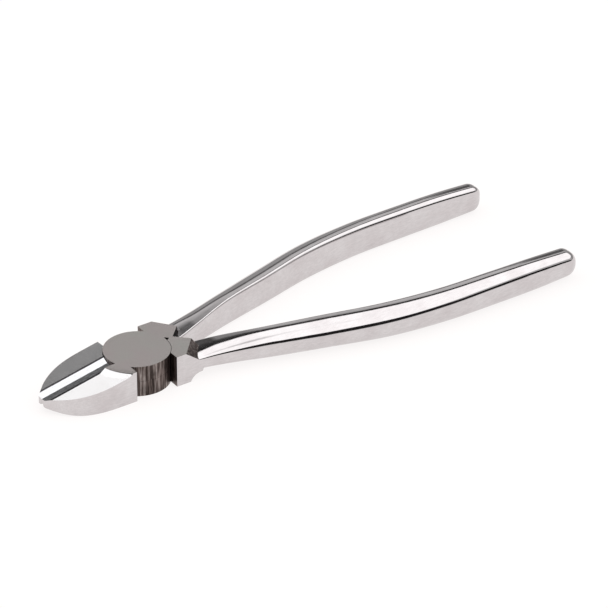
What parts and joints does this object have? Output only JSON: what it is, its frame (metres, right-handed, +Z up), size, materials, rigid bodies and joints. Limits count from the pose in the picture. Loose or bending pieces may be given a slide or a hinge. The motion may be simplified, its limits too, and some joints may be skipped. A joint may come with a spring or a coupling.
{
  "type": "diagonal nippers",
  "caption": "Hand nippers with two lapped, riveted steel halves, diagonal cutting jaws and long bowed bare handles.",
  "frame": {"origin": "on the pivot axis, at the flat underside of the joint, with the jaws closed", "axes": "+X from the pivot towards the handle ends, +Y towards the handle of the upper half, +Z up along the pivot axis"},
  "size_m": [0.1846, 0.06, 0.0106],
  "materials": {
    "polished_steel": "hand-polished bare tool steel, with satin-ground joint faces",
    "rivet_steel": "riveted and ground flush with the joint"
  },
  "bodies": {
    "lower": {"lower_half": "polished_steel"},
    "upper": {"upper_half": "polished_steel", "pivot_rivet": "rivet_steel"}
  },
  "joints": [
    {"name": "pivot", "type": "hinge", "parent": "lower", "child": "upper", "pos_m": [0, 0, 0], "axis": [0, 0, 1], "range_deg": [0, 62]}
  ]
}
